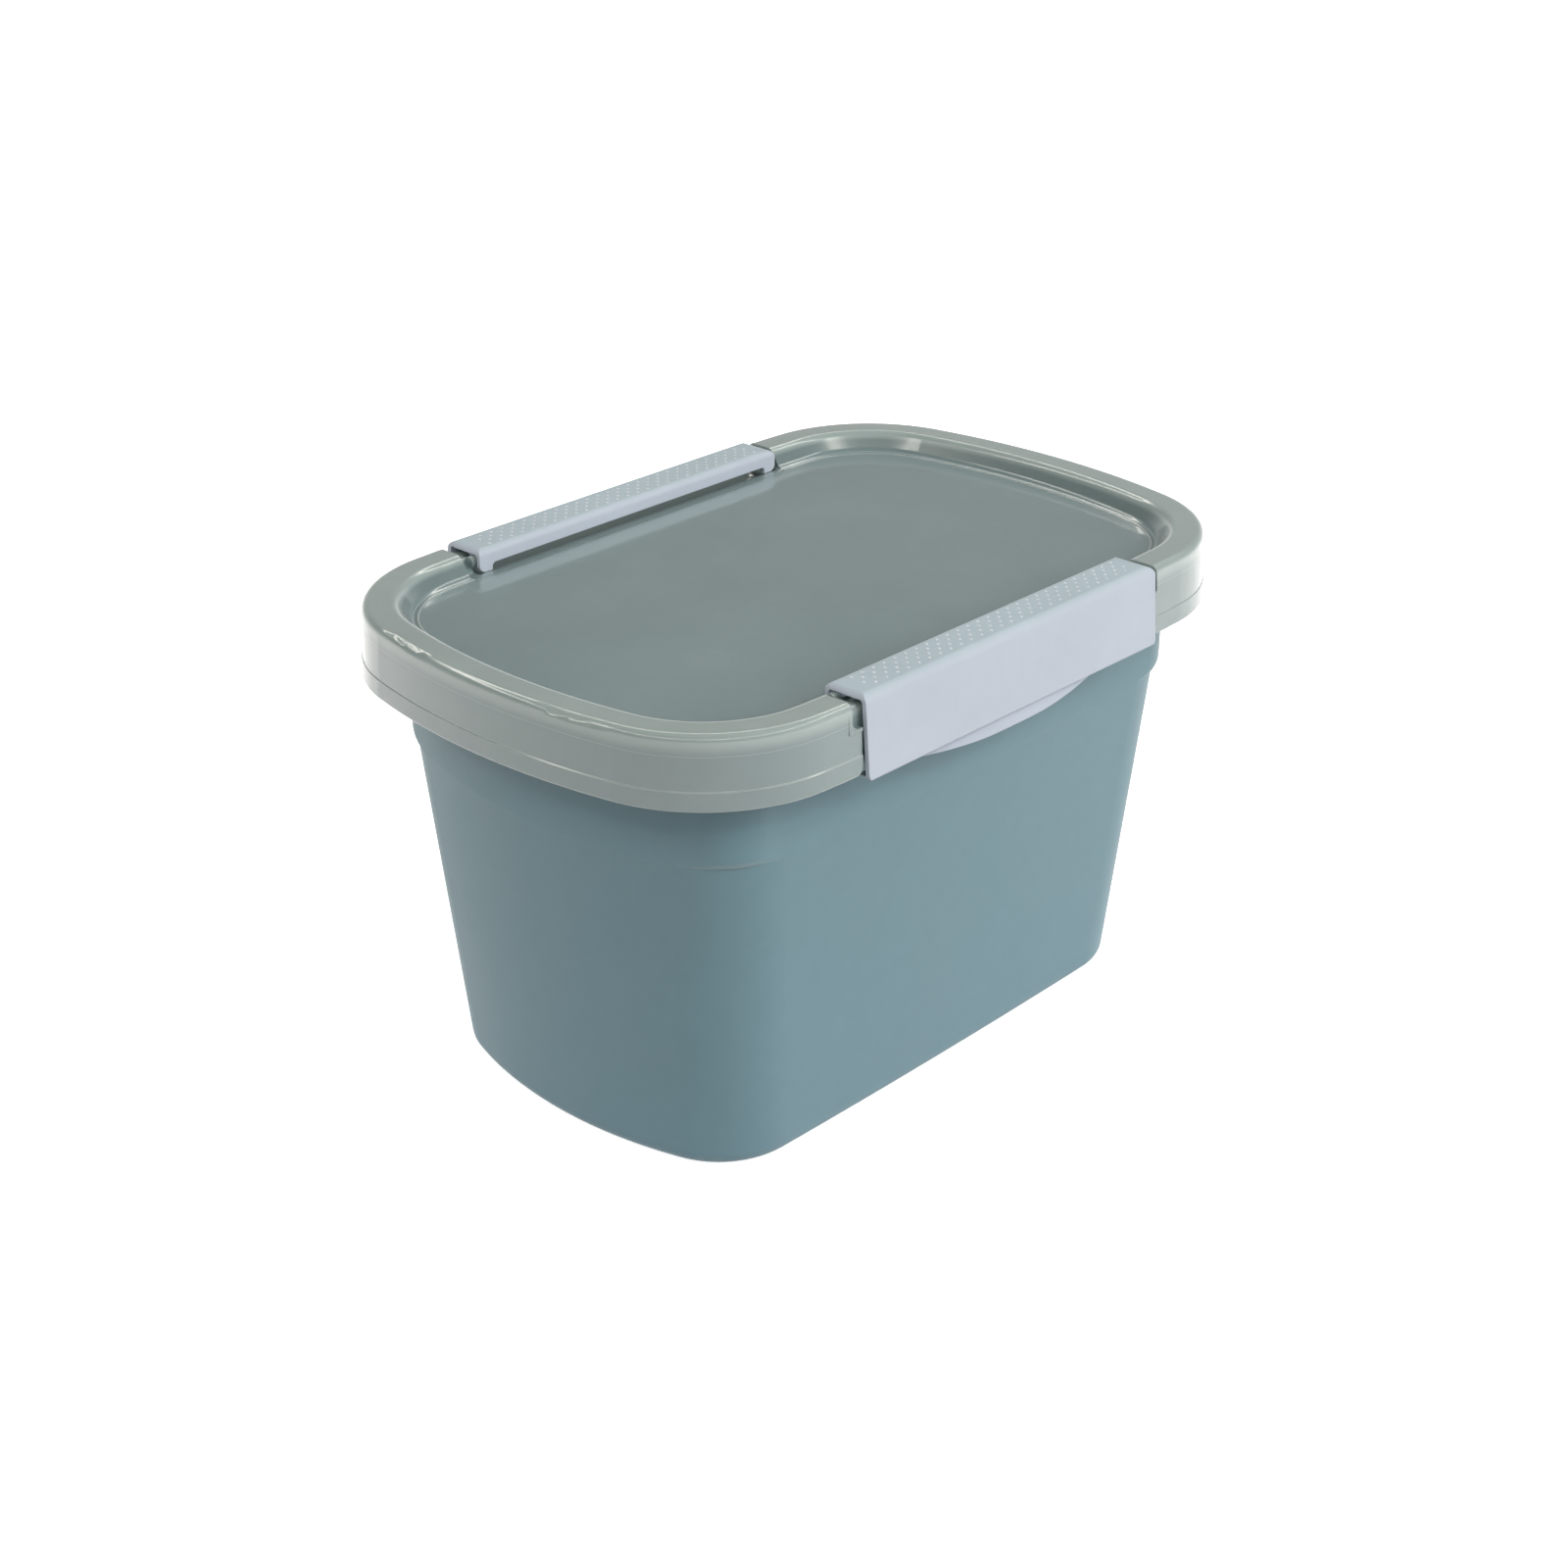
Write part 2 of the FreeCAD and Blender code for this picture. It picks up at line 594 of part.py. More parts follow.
def clip_front_trim():
    """The rounded front view of a clip, which trims the ends of its section."""
    return front_view(rounded_view(CLIP_FOOT_Z, 3.0), HINGE_Y + 6, CLIP_FOOT_Y + 20)


def clip_flange_trim():
    """The rounded view of a clip from the panel, which trims the ends of its top and inner flange."""
    return front_view(rounded_view(CLIP_Z - EAR_DEPTH, EAR_FOOT_R), CLIP_INNER_Y - 5, HINGE_Y + 6)


def window():
    """The opening under the middle of the inner flange, between the two ears."""
    r = 2.0
    x = CLIP_HALF_LENGTH - EAR_WIDTH
    top = CLIP_Z - WINDOW_DEPTH
    low = CLIP_Z - EAR_DEPTH - 3
    steps = [
        facing(-x, low),
        facing(x, low),
        facing(x, top - r),
        arc_to((x - r, top - r), r, 0, 90, facing),
        facing(-x + r, top),
        arc_to((-x + r, top - r), r, 90, 180, facing),
    ]
    return front_view(steps, CLIP_INNER_Y - 3, HINGE_Y + 5)


def claw(width):
    """A C-shaped claw that wraps the hinge rod, open towards the outer wall of the trough."""
    r = BORE_R + CLAW_WALL
    disc = Part.makeCylinder(r, width, v(-width / 2, HINGE_Y, HINGE_Z), v(1, 0, 0))
    reach = 4 * r
    centre = (HINGE_Y, HINGE_Z)
    mouth = Part.Face(chain([
        across(HINGE_Y, HINGE_Z),
        on_circle(centre, reach, -115, across),
        on_circle(centre, reach, -48, across),
        on_circle(centre, reach, 20, across),
    ]))
    mouth = mouth.extrude(v(width + 2, 0, 0)).translated(v(-width / 2 - 1, 0, 0))
    return disc.cut(mouth)


def tongue():
    """The curved finger tongue that hangs from the catch ledge and flares out in the middle."""
    foot_y = CLIP_FOOT_Y - TONGUE_SETBACK
    root_z = CLIP_FOOT_Z + CLIP_WALL / 2
    foot_z = CLIP_FOOT_Z - TONGUE_DEPTH
    steps = [
        across(foot_y - TONGUE_FLARE, root_z),
        across(foot_y - 0.5, foot_z + 0.5),
        [across(foot_y - 0.35 - 0.5, foot_z + 0.05), across(foot_y - 1.2, foot_z)],
        across(foot_y - TONGUE_WALL, foot_z + 0.5),
        across(foot_y - TONGUE_FLARE - TONGUE_WALL, root_z),
    ]
    turn = math.degrees(2 * math.asin(TONGUE_HALF_LENGTH / TONGUE_BOW_R)) + 2
    centre = v(0, foot_y - TONGUE_BOW_R, 0)
    blade = Part.Face(chain(steps)).revolve(centre, v(0, 0, 1), turn)
    blade = blade.rotated(centre, v(0, 0, 1), -turn / 2)
    x = TONGUE_HALF_LENGTH
    r = 1.6
    high = root_z + 1
    end_z = foot_z + TONGUE_RISE
    lens = front_view([
        facing(-x, high),
        facing(-x, end_z + r),
        [facing(-x + 0.3 * r, end_z + 0.3 * r), facing(-x + r, end_z)],
        [facing(0, foot_z), facing(x - r, end_z)],
        [facing(x - 0.3 * r, end_z + 0.3 * r), facing(x, end_z + r)],
        facing(x, high),
    ], CATCH_Y, CLIP_FOOT_Y + 20)
    return blade.common(lens)


def grip_dots():
    """Small raised dots on the clip's top, in rows that are staggered by half a pitch."""
    sunk = 0.2
    slant = (DOT_R - DOT_TOP_R) / DOT_HEIGHT
    dots = []
    for row in range(DOT_ROWS):
        y = CLIP_INNER_Y + DOT_INSET + row * DOT_ROW_PITCH
        shift = DOT_PITCH / 2 * (row % 2)
        count = int((CLIP_HALF_LENGTH - CLIP_OUTER_R - shift) // DOT_PITCH)
        for i in range(-count, count + 1 - row % 2):
            place = v(i * DOT_PITCH + shift, y, CLIP_Z - sunk)
            dots.append(Part.makeCone(DOT_R + sunk * slant, DOT_TOP_R, DOT_HEIGHT + sunk, place))
    return dots


def make_clip():
    length = 2 * CLIP_HALF_LENGTH
    shell = Part.Face(chain(clip_section())).extrude(v(length, 0, 0)).translated(v(-length / 2, 0, 0))
    inner_claws = [claw(CLAW_WIDTH).translated(v(side * CLAW_X, 0, 0)) for side in (-1, 1)]
    shell = union([shell] + inner_claws).cut(window())
    shell = shell.common(clip_front_trim().fuse(clip_flange_trim()))
    ear_x = CLIP_HALF_LENGTH - EAR_WIDTH / 2 - 0.6
    claws = [claw(EAR_WIDTH - 2.4).translated(v(side * ear_x, 0, 0)) for side in (-1, 1)]
    bore = Part.makeCylinder(BORE_R, length + 2, v(-length / 2 - 1, HINGE_Y, HINGE_Z), v(1, 0, 0))
    return union([shell, tongue()] + claws).cut(bore).fuse(grip_dots())


clip = make_clip()
nodes = {
    "tub": make_tub(),
    "lid": make_lid(),
    "front_clip": front(clip),
    "back_clip": clip,
}

os.makedirs("parts", exist_ok=True)
for name, shape in nodes.items():
    shape.exportStep("parts/" + name + ".step")
    bounds = shape.BoundBox
    print(name, shape.isValid(), len(shape.Solids), round(shape.Volume), round(bounds.XLength, 2),
          round(bounds.YMin, 2), round(bounds.YMax, 2), round(bounds.ZMin, 2), round(bounds.ZMax, 2))
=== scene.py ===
import math

import bpy
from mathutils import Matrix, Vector


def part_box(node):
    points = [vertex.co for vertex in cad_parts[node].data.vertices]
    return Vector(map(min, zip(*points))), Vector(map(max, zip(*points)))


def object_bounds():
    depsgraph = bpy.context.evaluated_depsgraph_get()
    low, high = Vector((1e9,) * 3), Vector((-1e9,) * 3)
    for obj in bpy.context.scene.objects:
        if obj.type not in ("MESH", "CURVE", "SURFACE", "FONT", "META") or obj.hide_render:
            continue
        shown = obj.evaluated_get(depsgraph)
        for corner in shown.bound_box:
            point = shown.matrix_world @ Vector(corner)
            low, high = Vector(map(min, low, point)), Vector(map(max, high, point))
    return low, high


# A clip-lid storage tote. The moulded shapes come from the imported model. This script gives them their
# plastics, and sets the studio and the camera.

MM = 0.001

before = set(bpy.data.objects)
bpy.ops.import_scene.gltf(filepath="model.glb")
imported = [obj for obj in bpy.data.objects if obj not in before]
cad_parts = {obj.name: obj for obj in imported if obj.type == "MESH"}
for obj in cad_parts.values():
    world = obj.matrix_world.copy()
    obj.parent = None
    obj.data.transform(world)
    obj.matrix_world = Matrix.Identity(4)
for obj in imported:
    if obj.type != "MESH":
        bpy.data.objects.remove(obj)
cad_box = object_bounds()
MIDDLE = (cad_box[0] + cad_box[1]) / 2

# Places on the mouldings where the tone changes, in millimetres. A pair is where a fade starts and ends.
BAND_DEPTH = 54.0                 # tub: from the rim down to the plain wall
UNDER_LID_SHADE_FADE = (52.0, 17.0)       # tub: under the rim, where painted shade under the lid fades in
SHOULDER_DEPTH = 51.5             # tub: from the rim down to the corner shoulders
SHOULDER_FADE = (3.0, 5.0)        # tub: above and below the shoulders
LID_CORNER_R = 69.0               # lid: its corners, seen from above
RING_INNER_FADE = (11.0, 8.0)     # lid: in from the edge, where the ring turns down to the panel
SKIRT_FADE = (3.0, 9.0)           # lid: under the top, outside the ring
SLOPE_FADE = (1.6, 4.2)           # lid: under the top, inside the ring
PANEL_FADE = (6.8, 8.8)           # lid: under the top, at the sunken panel
UNDERSIDE_FADE = (9.3, 9.6)       # lid: under the top, below the panel's face
SKIRT_BEAD_RISE = 8.5             # lid: from the skirt's foot up to its bead
PANEL_BEAD_DEPTH = 8.72           # lid: from the top down to the bead round the panel
DOT_TIP_FADE = (0.26, 0.1)        # clip: under the tips of the grip dots

TUB_COLOUR = "6f909a"
TUB_FOOT_BOUNCE_COLOUR = "7194a1"
TUB_UNDER_LID_SHADE_COLOUR = "5a7882"
TUB_WEAR_AND_HIGHLIGHT_COLOUR = "b9c9cc"
SHOULDER_HIGHLIGHT_COLOUR = "a4bcc2"
RING_COLOUR = "a4b3b1"
SKIRT_SHADE_COLOUR = "7f9292"
SLOPE_SHADE_COLOUR = "788a8a"
PANEL_SHADE_COLOUR = "84999b"
HIGHLIGHT_LINE_COLOUR = "c8d2d0"
LID_WEAR_AND_HIGHLIGHT_COLOUR = "c9d2cf"
CLIP_COLOUR = "c6cfdb"
CLIP_TOP_SHADE_COLOUR = "b8c9d2"
CLIP_WEAR_AND_HIGHLIGHT_COLOUR = "dfe3ea"
DOT_COLOUR = "e0e7ee"
PAPER_COLOURS = ("f6f6f5", "fafafa")
TUBE_COLOUR = "fffaf2"

POLYPROPYLENE_IOR = 1.49
FILLED_POLYPROPYLENE_IOR = 1.5


def hex_colour(text):
    """An sRGB hex value as linear RGBA."""
    channels = []
    for start in (0, 2, 4):
        value = int(text[start:start + 2], 16) / 255
        low = value / 12.92
        high = ((value + 0.055) / 1.055) ** 2.4
        channels.append(low if value <= 0.04045 else high)
    return (*channels, 1.0)


def node(tree, kind, sockets=None, **settings):
    """Adds a node with its settings. A socket's value is a plain value, or the output that feeds it."""
    made = tree.nodes.new(kind)
    for name, value in settings.items():
        setattr(made, name, value)
    for name, value in (sockets or {}).items():
        if isinstance(value, bpy.types.NodeSocket):
            tree.links.new(value, made.inputs[name])
        else:
            made.inputs[name].default_value = value
    return made


def blank(name):
    """A new material with its tree emptied."""
    made = bpy.data.materials.new(name)
    made.use_nodes = True
    made.node_tree.nodes.clear()
    return made, made.node_tree


# ---------------------------------------------------------------- plastics

FLOW_MM = 70        # broad patches that the melt leaves as it fills the mould
MOTTLE_MM = 9       # finer, fainter patches
SINK_MM = 38        # shallow waves, where thick places shrink as they cool
ROUGHNESS_SPREAD = 0.08
WEAR_AND_HIGHLIGHT_SHARE = 0.55   # how far an edge goes towards its paler colour: part wear, part painted highlight
SCUFF = 0.25        # how much rougher a worn edge is


def per_metre(size_mm):
    """The scale that makes a noise's blobs this many millimetres across."""
    return 1.0 / (size_mm * MM)


def moulded_surface(tree, place, colour, rough, sink_depth_mm, grain_mm, grain_depth_mm, wear_and_highlight_colour, edge_mm):
    """The finish that every moulded plastic here shares, as (colour, roughness, normal) outputs.

    Melt flow leaves broad, faint patches of shade and gloss. Thick places sink a little as they cool. The
    mould's steel leaves a fine grain. Handling rounds the edges. They are also painted paler: partly wear,
    partly a painted highlight along them.
    """
    flow = node(tree, "ShaderNodeTexNoise", {
        "Vector": place, "Scale": per_metre(FLOW_MM), "Detail": 2.0, "Roughness": 0.45})
    mottle = node(tree, "ShaderNodeTexNoise", {
        "Vector": place, "Scale": per_metre(MOTTLE_MM), "Detail": 3.0, "Roughness": 0.55})
    shade = node(tree, "ShaderNodeMapRange", {
        "Value": flow.outputs["Fac"], "To Min": 0.92, "To Max": 1.08}, clamp=False)
    speck = node(tree, "ShaderNodeMapRange", {
        "Value": mottle.outputs["Fac"], "To Min": 0.965, "To Max": 1.035}, clamp=False)
    tone = node(tree, "ShaderNodeMath", {0: shade.outputs[0], 1: speck.outputs[0]}, operation="MULTIPLY")
    body = node(tree, "ShaderNodeVectorMath", {0: colour, "Scale": tone.outputs[0]}, operation="SCALE")

    soft_edge = node(tree, "ShaderNodeBevel", {"Radius": edge_mm * MM}, samples=4)
    hard_edge = node(tree, "ShaderNodeNewGeometry")
    turn = node(tree, "ShaderNodeVectorMath", {
        0: soft_edge.outputs[0], 1: hard_edge.outputs["Normal"]}, operation="DOT_PRODUCT")
    # Edges are painted paler: partly wear, partly a painted highlight.
    edge = node(tree, "ShaderNodeMapRange", {
        "Value": turn.outputs["Value"], "From Min": 0.998, "From Max": 0.93,
        "To Min": 0.0, "To Max": WEAR_AND_HIGHLIGHT_SHARE})
    patchy = node(tree, "ShaderNodeMapRange", {
        "Value": mottle.outputs["Fac"], "From Min": 0.35, "From Max": 0.65, "To Min": 0.45, "To Max": 1.0})
    wear_and_highlight = node(tree, "ShaderNodeMath", {0: edge.outputs[0], 1: patchy.outputs[0]}, operation="MULTIPLY")
    tinted = node(tree, "ShaderNodeMix", {
        "Factor": wear_and_highlight.outputs[0], 6: body.outputs[0], 7: hex_colour(wear_and_highlight_colour)}, data_type="RGBA")

    gloss = node(tree, "ShaderNodeMapRange", {
        "Value": flow.outputs["Fac"], "To Min": rough - ROUGHNESS_SPREAD,
        "To Max": rough + ROUGHNESS_SPREAD}, clamp=False)
    scuffed = node(tree, "ShaderNodeMath", {
        0: wear_and_highlight.outputs[0], 1: SCUFF, 2: gloss.outputs[0]}, operation="MULTIPLY_ADD")

    grain = node(tree, "ShaderNodeTexNoise", {
        "Vector": place, "Scale": per_metre(grain_mm), "Detail": 2.0, "Roughness": 0.6})
    sink = node(tree, "ShaderNodeTexNoise", {"Vector": place, "Scale": per_metre(SINK_MM), "Detail": 1.0})
    wave = node(tree, "ShaderNodeBump", {
        "Height": sink.outputs["Fac"], "Distance": sink_depth_mm * MM, "Strength": 0.25,
        "Normal": soft_edge.outputs[0]})
    relief = node(tree, "ShaderNodeBump", {
        "Height": grain.outputs["Fac"], "Distance": grain_depth_mm * MM, "Strength": 0.6,
        "Normal": wave.outputs[0]})
    return tinted.outputs[2], scuffed.outputs[0], relief.outputs[0]


def satin_polypropylene():
    """Polypropylene, injection-moulded in a blasted mould.

    It looks dense and soft: a broad, low sheen and an even grey-teal tone. Painted shade darkens the tone
    under the lid. A painted highlight pales it where the corner shoulders turn under. The wall is painted a
    little lighter towards the foot, as painted floor bounce. The real grain is about 0.15 mm. It is drawn at
    0.9 mm, or it would not show.
    """
    made, tree = blank("satin_polypropylene")
    place = node(tree, "ShaderNodeTexCoord").outputs["Object"]
    height = node(tree, "ShaderNodeSeparateXYZ", {"Vector": place}).outputs["Z"]
    rim_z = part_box("tub")[1].z
    # Painted floor bounce: the wall is painted a little lighter towards the foot.
    up = node(tree, "ShaderNodeMapRange", {
        "Value": height, "From Min": 0.0, "From Max": rim_z - BAND_DEPTH * MM, "To Min": 0.0, "To Max": 1.0})
    wall = node(tree, "ShaderNodeMix", {
        "Factor": up.outputs[0], 6: hex_colour(TUB_FOOT_BOUNCE_COLOUR), 7: hex_colour(TUB_COLOUR)}, data_type="RGBA")
    # Painted shade: the tub is painted darker just under the lid.
    fade_start, fade_end = UNDER_LID_SHADE_FADE
    under_lid_shade = node(tree, "ShaderNodeMapRange", {
        "Value": height, "From Min": rim_z - fade_start * MM, "From Max": rim_z - fade_end * MM,
        "To Min": 0.0, "To Max": 1.0})
    band = node(tree, "ShaderNodeMix", {
        "Factor": under_lid_shade.outputs[0], 6: wall.outputs[2], 7: hex_colour(TUB_UNDER_LID_SHADE_COLOUR)}, data_type="RGBA")

    # Painted highlight: where the corner shoulders turn under, the tone is painted paler.
    facing = node(tree, "ShaderNodeNewGeometry").outputs["Normal"]
    facing_up = node(tree, "ShaderNodeSeparateXYZ", {"Vector": facing}).outputs["Z"]
    turned_under = node(tree, "ShaderNodeMapRange", {
        "Value": facing_up, "From Min": -0.15, "From Max": -0.6, "To Min": 0.0, "To Max": 0.75})
    from_shoulder = node(tree, "ShaderNodeMath", {
        0: height, 1: rim_z - SHOULDER_DEPTH * MM}, operation="SUBTRACT")
    off_shoulder = node(tree, "ShaderNodeMath", {0: from_shoulder.outputs[0]}, operation="ABSOLUTE")
    fade_start, fade_end = SHOULDER_FADE
    near = node(tree, "ShaderNodeMapRange", {
        "Value": off_shoulder.outputs[0], "From Min": fade_start * MM, "From Max": fade_end * MM,
        "To Min": 1.0, "To Max": 0.0})
    painted_shoulder_highlight = node(tree, "ShaderNodeMath", {0: turned_under.outputs[0], 1: near.outputs[0]}, operation="MULTIPLY")
    colour = node(tree, "ShaderNodeMix", {
        "Factor": painted_shoulder_highlight.outputs[0], 6: band.outputs[2], 7: hex_colour(SHOULDER_HIGHLIGHT_COLOUR)}, data_type="RGBA")

    tinted, rough, normal = moulded_surface(
        tree, place, colour.outputs[2], rough=0.44, sink_depth_mm=0.35, grain_mm=0.9, grain_depth_mm=0.035,
        wear_and_highlight_colour=TUB_WEAR_AND_HIGHLIGHT_COLOUR, edge_mm=0.5)
    skin = node(tree, "ShaderNodeBsdfPrincipled", {
        "Base Color": tinted, "Roughness": rough, "Normal": normal, "IOR": POLYPROPYLENE_IOR,
        "Specular IOR Level": 0.5})
    node(tree, "ShaderNodeOutputMaterial", {"Surface": skin.outputs[0]})
    return made


def glossy_polypropylene():
    """Clear-tinted polypropylene, injection-moulded in a polished mould.

    It is glossy, with crisp highlights on every rounding. The skirt, the slopes and the flat panel are
    painted darker and greyer than the raised ring: painted shade, where the dark tub and the dark inside show
    through the clear plastic. The bead on the skirt, the skirt's foot and the bead round the panel are painted
    as pale lines: painted highlights. A polished mould leaves almost no grain. A very shallow one is drawn at
    1.4 mm, so that it only softens the gloss a little.
    """
    made, tree = blank("glossy_polypropylene")
    place = node(tree, "ShaderNodeTexCoord").outputs["Object"]
    height = node(tree, "ShaderNodeSeparateXYZ", {"Vector": place}).outputs["Z"]
    low_corner, high_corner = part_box("lid")
    foot = low_corner.z
    top = high_corner.z

    # How far a place is from the corner's centre, or from the straight line between two centres.
    corner_r = LID_CORNER_R * MM
    corner_centre = (high_corner.x - corner_r, high_corner.y - corner_r, 0.0)
    flat_place = node(tree, "ShaderNodeVectorMath", {0: place, 1: (1.0, 1.0, 0.0)}, operation="MULTIPLY")
    quarter = node(tree, "ShaderNodeVectorMath", {0: flat_place.outputs[0]}, operation="ABSOLUTE")
    past = node(tree, "ShaderNodeVectorMath", {0: quarter.outputs[0], 1: corner_centre}, operation="SUBTRACT")
    beyond = node(tree, "ShaderNodeVectorMath", {0: past.outputs[0], 1: (0.0, 0.0, 0.0)}, operation="MAXIMUM")
    reach = node(tree, "ShaderNodeVectorMath", {0: beyond.outputs[0]}, operation="LENGTH")
    fade_start, fade_end = RING_INNER_FADE
    inside = node(tree, "ShaderNodeMapRange", {
        "Value": reach.outputs["Value"], "From Min": corner_r - fade_start * MM,
        "From Max": corner_r - fade_end * MM, "To Min": 1.0, "To Max": 0.0}).outputs[0]
    outside = node(tree, "ShaderNodeMath", {0: 1.0, 1: inside}, operation="SUBTRACT").outputs[0]

    # Painted shade: the skirt, slopes and panel of the one moulding are painted darker than the ring.
    tone = hex_colour(RING_COLOUR)
    painted_shade_zones = (
        (SKIRT_FADE, outside, SKIRT_SHADE_COLOUR),
        (SLOPE_FADE, inside, SLOPE_SHADE_COLOUR),
        (PANEL_FADE, inside, PANEL_SHADE_COLOUR),
        (UNDERSIDE_FADE, inside, RING_COLOUR),
    )
    for (fade_start, fade_end), gate, shade_colour in painted_shade_zones:
        sunk = node(tree, "ShaderNodeMapRange", {
            "Value": height, "From Min": top - fade_start * MM, "From Max": top - fade_end * MM,
            "To Min": 0.0, "To Max": 1.0}, interpolation_type="SMOOTHSTEP")
        share = node(tree, "ShaderNodeMath", {0: sunk.outputs[0], 1: gate}, operation="MULTIPLY")
        mixed = node(tree, "ShaderNodeMix", {
            "Factor": share.outputs[0], 6: tone, 7: hex_colour(shade_colour)}, data_type="RGBA")
        tone = mixed.outputs[2]

    # Painted highlights: thin pale lines at the skirt's bead, the skirt's foot and the bead round the panel.
    highlight_lines = 0.0
    painted_highlight_lines = (
        # height, half width in mm, strength
        (foot + SKIRT_BEAD_RISE * MM, 0.4, 0.4),
        (foot, 0.9, 0.5),
        (top - PANEL_BEAD_DEPTH * MM, 0.09, 0.6),
    )
    for line_z, half_mm, strength in painted_highlight_lines:
        off = node(tree, "ShaderNodeMath", {0: height, 1: line_z}, operation="SUBTRACT")
        apart = node(tree, "ShaderNodeMath", {0: off.outputs[0]}, operation="ABSOLUTE")
        highlight_line = node(tree, "ShaderNodeMapRange", {
            "Value": apart.outputs[0], "From Min": 0.4 * half_mm * MM, "From Max": half_mm * MM,
            "To Min": strength, "To Max": 0.0})
        joined = node(tree, "ShaderNodeMath", {0: highlight_line.outputs[0], 1: highlight_lines}, operation="ADD")
        highlight_lines = joined.outputs[0]
    colour = node(tree, "ShaderNodeMix", {
        "Factor": highlight_lines, 6: tone, 7: hex_colour(HIGHLIGHT_LINE_COLOUR)}, data_type="RGBA")

    tinted, rough, normal = moulded_surface(
        tree, place, colour.outputs[2], rough=0.24, sink_depth_mm=0.05, grain_mm=1.4, grain_depth_mm=0.008,
        wear_and_highlight_colour=LID_WEAR_AND_HIGHLIGHT_COLOUR, edge_mm=0.45)
    skin = node(tree, "ShaderNodeBsdfPrincipled", {
        "Base Color": tinted, "Roughness": rough, "Normal": normal, "IOR": POLYPROPYLENE_IOR,
        "Coat Weight": 1.0, "Coat Roughness": 0.1, "Sheen Weight": 0.25, "Sheen Roughness": 0.35})
    node(tree, "ShaderNodeOutputMaterial", {"Surface": skin.outputs[0]})
    return made


def pale_polypropylene():
    """Filled white-blue polypropylene, injection-moulded with a fine satin.

    It is the stiffest and most opaque of the three plastics: chalky, even, and a little cool. Faces that turn
    upwards are painted darker, as painted shade. The tips of the grip dots are painted paler than the top
    between them. The real grain is about 0.15 mm. It is drawn at 0.8 mm, or it would not show.
    """
    made, tree = blank("pale_polypropylene")
    on_clip = node(tree, "ShaderNodeTexCoord")
    place = on_clip.outputs["Object"]
    height = node(tree, "ShaderNodeSeparateXYZ", {"Vector": place}).outputs["Z"]
    facing_up = node(tree, "ShaderNodeSeparateXYZ", {"Vector": on_clip.outputs["Normal"]}).outputs["Z"]
    # Painted shade: faces that turn upwards are painted a darker, greyer blue than the sides.
    top = node(tree, "ShaderNodeMapRange", {
        "Value": facing_up, "From Min": 0.6, "From Max": 0.98, "To Min": 0.0, "To Max": 1.0})
    body = node(tree, "ShaderNodeMix", {
        "Factor": top.outputs[0], 6: hex_colour(CLIP_COLOUR), 7: hex_colour(CLIP_TOP_SHADE_COLOUR)},
        data_type="RGBA")
    # The tips of the grip dots are painted paler than the top between them.
    dot_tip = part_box("back_clip")[1].z
    fade_start, fade_end = DOT_TIP_FADE
    tip = node(tree, "ShaderNodeMapRange", {
        "Value": height, "From Min": dot_tip - fade_start * MM, "From Max": dot_tip - fade_end * MM,
        "To Min": 0.0, "To Max": 1.0})
    colour = node(tree, "ShaderNodeMix", {
        "Factor": tip.outputs[0], 6: body.outputs[2], 7: hex_colour(DOT_COLOUR)}, data_type="RGBA")

    tinted, rough, normal = moulded_surface(
        tree, place, colour.outputs[2], rough=0.42, sink_depth_mm=0.2, grain_mm=0.8, grain_depth_mm=0.03,
        wear_and_highlight_colour=CLIP_WEAR_AND_HIGHLIGHT_COLOUR, edge_mm=0.4)
    skin = node(tree, "ShaderNodeBsdfPrincipled", {
        "Base Color": tinted, "Roughness": rough, "Normal": normal, "IOR": FILLED_POLYPROPYLENE_IOR,
        "Specular IOR Level": 0.35})
    node(tree, "ShaderNodeOutputMaterial", {"Surface": skin.outputs[0]})
    return made


finishes = {"tub": satin_polypropylene(), "lid": glossy_polypropylene(), "front_clip": pale_polypropylene()}
finishes["back_clip"] = finishes["front_clip"]
for name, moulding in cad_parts.items():
    moulding.data.materials.clear()
    moulding.data.materials.append(finishes[name])


# ---------------------------------------------------------------- studio

FLOOR_SIZE = 60              # metres
PAPER_FIBRE_MM = 4
GLOW_REACH = (0.5, 2.2)      # metres from the tote, where the floor's glow starts to rise and where it stops
GLOW_NEAR = 0.75
GLOW_FAR = 1.0
SKY_FADE = (0.02, 0.4)       # heights on the sky, as the sine of the angle above the horizon
SKY_LOW = 0.84
SKY_HIGH = 0.12
SKY_BELOW = 0.16
HORIZON_BLUR = 0.08
TUBE_HEIGHT = 0.68           # the same kind of height
TUBE_SPREAD = 0.045
TUBE_GLOW = 8.0
LAMP_DISTANCE = 2.4


